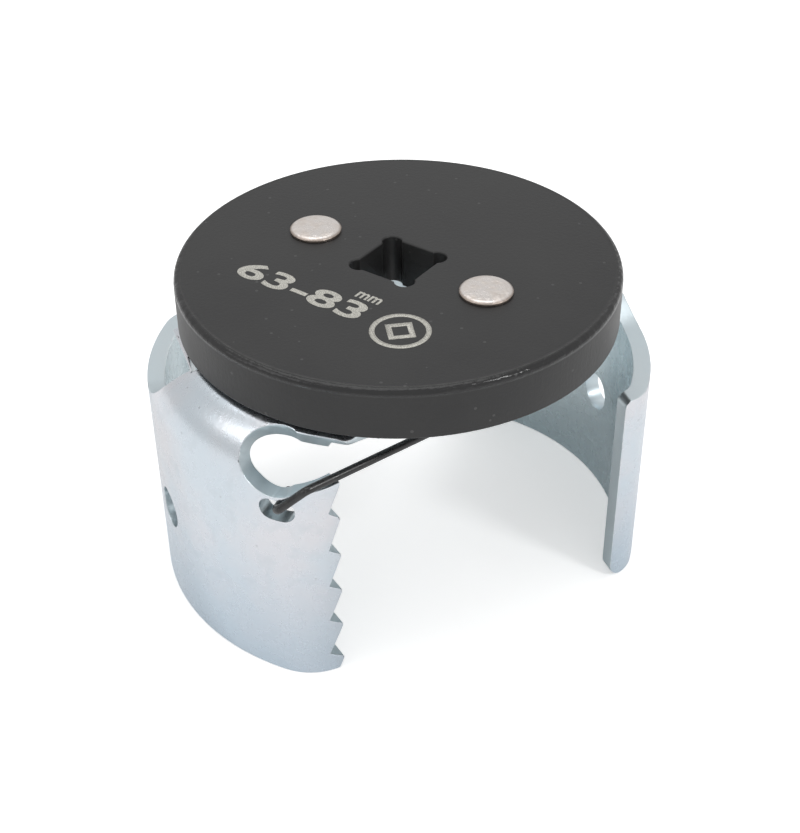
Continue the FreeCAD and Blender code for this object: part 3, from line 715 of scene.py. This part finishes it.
FOOT_RADIUS, COLLAR_RADIUS, JOURNAL_RADIUS = 6.8 * MM, 4.4 * MM, 3.2 * MM
TENON_RADIUS, HEAD_RADIUS = 2.6 * MM, 3.8 * MM
FOOT_TOP = rivet_low.z + 1.5 * MM
COLLAR_TOP = jaw_high.z - SHEET - 0.05 * MM
rivet_corners = [
    (0, rivet_low.z, 0),
    (FOOT_RADIUS, rivet_low.z, 0.35 * MM),
    (FOOT_RADIUS, FOOT_TOP, 0.2 * MM),
    (COLLAR_RADIUS, FOOT_TOP, 0.15 * MM),
    (COLLAR_RADIUS, COLLAR_TOP, 0.1 * MM),
    (JOURNAL_RADIUS, COLLAR_TOP, 0),
    (JOURNAL_RADIUS, washer_high.z, 0),
    (TENON_RADIUS, washer_high.z, 0),
    (TENON_RADIUS, plate_high.z, 0),
    (HEAD_RADIUS, plate_high.z, 0.12 * MM),
    (HEAD_RADIUS, rivet_high.z - 0.35 * MM, 0.1 * MM),
    (3.4 * MM, rivet_high.z - 0.06 * MM, 0.16 * MM),
    (2.6 * MM, rivet_high.z, 0.1 * MM),
    (0, rivet_high.z, 0),
]
mesh = turned_copies(with_arcs(rivet_corners), False, pivots, 96, rivet_steel)
finished_piece("pivot_rivets", even_shading(mesh), rivet_steel, "drive", "rivet_steel",
               "left_pivot_rivet", "right_pivot_rivet")

WASHER_BORE, WASHER_RADIUS = 3.26 * MM, 7.2 * MM
washer_corners = [
    (WASHER_BORE, washer_low.z, 0.06 * MM),
    (WASHER_RADIUS, washer_low.z, 0.1 * MM),
    (WASHER_RADIUS, washer_high.z, 0.1 * MM),
    (WASHER_BORE, washer_high.z, 0.06 * MM),
]
mesh = turned_copies(with_arcs(washer_corners), True, pivots, 96, washer_steel)
finished_piece("pivot_washers", even_shading(mesh), washer_steel, "drive", "washer_steel",
               "left_pivot_washer", "right_pivot_washer")

# %% [markdown]
# ## Torsion springs by geometry nodes
# A spring is a round wire that follows a path: a hook through the jaw's slot, a long straight leg,
# two turns round the rivet, and a short leg up into the plate.  The path is a plain poly curve, so
# the tree only has to sweep a circle along it and close the ends.

# %% Spring tree
wire_tree, start, end = new_tree(
    "Wire along a path", [("Wire Radius", "Float"), ("Facets", "Int"), ("Material", "Material")]
)
section = add_node(wire_tree, "GeometryNodeCurvePrimitiveCircle")
feed(wire_tree, section.inputs["Resolution"], start.outputs["Facets"])
feed(wire_tree, section.inputs["Radius"], start.outputs["Wire Radius"])
drawn = add_node(wire_tree, "GeometryNodeCurveToMesh")
feed(wire_tree, drawn.inputs["Curve"], start.outputs["Geometry"])
feed(wire_tree, drawn.inputs["Profile Curve"], section.outputs["Curve"])
drawn.inputs["Fill Caps"].default_value = True
finish_tree(wire_tree, drawn.outputs["Mesh"], start, end)

# %% [markdown]
# The path's corners are bent round a small former, so each is replaced by a short arc.  The coil is
# sampled every six degrees.  On the real tool the wire is held by the plate at one end and by the jaw
# at the other, and the coil between them twists.  Here the wire is given to no body, so it stays
# where it is drawn.

# %% Springs
WIRE_RADIUS = 0.6 * MM
HOOK_TIP = Vector((4.12, -31.26, 30.15)) * MM
HOOK_BEND = Vector((6.10, -36.87, 30.85)) * MM
SHOULDER_BEND = Vector((9.83, -34.53, 34.8)) * MM
COIL_RADIUS = 5.5 * MM
COIL_START, COIL_TURN = -17.585, 731.334
COIL_LOW, COIL_HIGH = 35.16 * MM, 37.9 * MM
LEG_CORNER = Vector((21.36, 7.58, 38.22)) * MM
LEG_TOP = Vector((21.36, 7.58, 44.8)) * MM
BEND = 1.3 * MM
COIL_STEP = 6.0


def bent_run(points, bend, steps=7):
    """The run through points with a short arc of radius bend at every inner corner."""
    out = [points[0]]
    for before, here, after in zip(points, points[1:], points[2:]):
        back, ahead = (before - here).normalized(), (after - here).normalized()
        reach = bend / math.tan(back.angle(ahead) / 2)
        centre = here + (back + ahead).normalized() * bend / math.sin(back.angle(ahead) / 2)
        first, last = here + back * reach - centre, here + ahead * reach - centre
        out += [centre + first.slerp(last, step / steps) * bend for step in range(steps + 1)]
    return out + [points[-1]]


def coil_point(share):
    angle = math.radians(COIL_START + COIL_TURN * share)
    level = COIL_LOW + (COIL_HIGH - COIL_LOW) * share
    across = pivots[0][0] + COIL_RADIUS * math.cos(angle)
    return Vector((across, COIL_RADIUS * math.sin(angle), level))


def spring_path():
    count = round(COIL_TURN / COIL_STEP)
    coil = [coil_point(index / count) for index in range(count + 1)]
    long_leg = bent_run([HOOK_TIP, HOOK_BEND, SHOULDER_BEND, coil[0]], BEND)
    short_leg = bent_run([coil[-1], LEG_CORNER, LEG_TOP], BEND)
    return long_leg[:-1] + coil + short_leg[1:]


for side, turn in (("left", 0.0), ("right", math.pi)):
    placed = [Matrix.Rotation(turn, 3, "Z") @ point for point in spring_path()]
    curve = bpy.data.curves.new("wire_path", "CURVE")
    curve.dimensions = "3D"
    spline = curve.splines.new("POLY")
    spline.points.add(len(placed) - 1)
    for point, where in zip(spline.points, placed):
        point.co = (*where, 1)
    mesh = run_tree(bpy.data.objects.new("wire_path", curve), wire_tree, {
        "Wire Radius": WIRE_RADIUS, "Facets": 20, "Material": wire_black})
    mesh = closed_outwards(mesh)
    mesh.shade_smooth()
    mesh.set_sharp_from_angle(angle=EDGE_ANGLE)
    piece = finished_piece(side + "_spring_wire", mesh, wire_black, None, "spring_wire",
                           side + "_jaw_spring")
    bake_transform(piece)

# %% [markdown]
# ## Marks on the plate
# Such a tool is marked with the filter sizes it grips and the size of its square drive.  Here the
# marks are plain: the span in millimetres and a ring with the drive square in it.  Text is made a
# mesh before it is put in place, and every mark is a thin closed plate that stands a few hundredths
# of a millimetre proud, so that it also exists as a shape.

# %% Marks
MARK_RISE = 0.02 * MM
MARK_DEPTH = 0.03 * MM


def text_mark(name, words, corner, cap_height, width, weight):
    """Generic numbers as a thin mesh whose lower left corner is at a place on the plate."""
    letters = bpy.data.curves.new(name, "FONT")
    letters.body = words
    letters.extrude = 0.5
    letters.offset = weight
    letters.resolution_u = 6
    holder = bpy.data.objects.new(name, letters)
    bpy.context.scene.collection.objects.link(holder)
    graph = bpy.context.evaluated_depsgraph_get()
    mesh = bpy.data.meshes.new_from_object(holder.evaluated_get(graph))
    bpy.data.objects.remove(holder)
    low = [min(vertex.co[axis] for vertex in mesh.vertices) for axis in range(2)]
    high = [max(vertex.co[axis] for vertex in mesh.vertices) for axis in range(2)]
    scale = (width / (high[0] - low[0]), cap_height / (high[1] - low[1]), MARK_RISE + MARK_DEPTH)
    place = Vector((*corner, plate_high.z + (MARK_RISE - MARK_DEPTH) / 2))
    mesh.transform(
        Matrix.Translation(place)
        @ Matrix.Diagonal((*scale, 1))
        @ Matrix.Translation((-low[0], -low[1], 0))
    )
    finished_piece(name, closed_outwards(mesh), burnt, "drive", None)


text_mark("size_numbers", "63-83", (-17.2 * MM, -16.2 * MM), 4.3 * MM, 21.5 * MM, 0.02)
text_mark("size_unit", "mm", (0.6 * MM, -11.2 * MM), 1.5 * MM, 4.0 * MM, 0.02)


def ring_mark(name, inner, outer, facets):
    """A flat ring round the place of the drive symbol."""
    low, high = plate_high.z - MARK_DEPTH, plate_high.z + MARK_RISE
    corners = [(inner, low), (outer, low), (outer, high), (inner, high)]
    mesh = turned_copies(corners, True, [(10.9 * MM, -14.6 * MM, 0.0)], facets, burnt)
    finished_piece(name, mesh, burnt, "drive", None)


ring_mark("drive_ring_mark", 3.45 * MM, 4.2 * MM, 64)
ring_mark("drive_square_mark", 1.5 * MM, 2.6 * MM, 4)

# %% [markdown]
# ## Studio
# Plated metal shows what surrounds it, so the studio is the last step of the finish: a pale floor,
# a pale room, a large soft lamp over the tool and a smaller one that draws a line along the rim.

# %% Studio
FLOOR_HALF = 4.0
bpy.ops.mesh.primitive_plane_add(size=2 * FLOOR_HALF, location=(0, 0, -0.05 * MM))
floor = bpy.context.active_object
floor.name = "studio_floor"
floor_finish, tree, shader, place = new_finish("pale_floor", 0.0, 0.9, specular=0.1)
paper = place_group(tree, clouds, Vector=place, Scale=3.0, Low=0.3, High=0.7).outputs["Mask"]
colour = mix_colour(tree, paper, (0.93, 0.93, 0.93, 1), (0.95, 0.95, 0.95, 1))
tree.links.new(colour, shader.inputs["Base Color"])
seen_by = add_node(tree, "ShaderNodeLightPath")
glow = mix_colour(tree, seen_by.outputs["Is Glossy Ray"], colour, (0.0, 0.0, 0.0, 1))
tree.links.new(glow, shader.inputs["Emission Color"])
shader.inputs["Emission Strength"].default_value = 0.4
floor.data.materials.append(floor_finish)

room = bpy.data.worlds.new("room")
bpy.context.scene.world = room
room.use_nodes = True
room.node_tree.nodes["Background"].inputs["Color"].default_value = (1.0, 1.0, 1.0, 1)
room.node_tree.nodes["Background"].inputs["Strength"].default_value = 0.72


def soft_lamp(name, heading, lift, distance, size, power):
    """A square softbox that looks at the tool from a heading and a lift above the floor."""
    lamp = bpy.data.lights.new(name, "AREA")
    lamp.shape = "SQUARE"
    lamp.size = size
    lamp.energy = power
    holder = bpy.data.objects.new(name, lamp)
    bpy.context.scene.collection.objects.link(holder)
    turn, rise = math.radians(heading), math.radians(lift)
    level = math.cos(rise)
    away = Vector((math.cos(turn) * level, math.sin(turn) * level, math.sin(rise)))
    holder.matrix_world = (
        Matrix.Translation(away * distance + Vector((0, 0, 0.03)))
        @ away.to_track_quat("Z", "Y").to_matrix().to_4x4()
    )


soft_lamp("overhead", 150, 75, 1.0, 0.8, 2.6)
soft_lamp("front_left", 235, 40, 1.0, 0.5, 0.9)
soft_lamp("rim_light", 0, 42, 0.8, 0.14, 1.4)
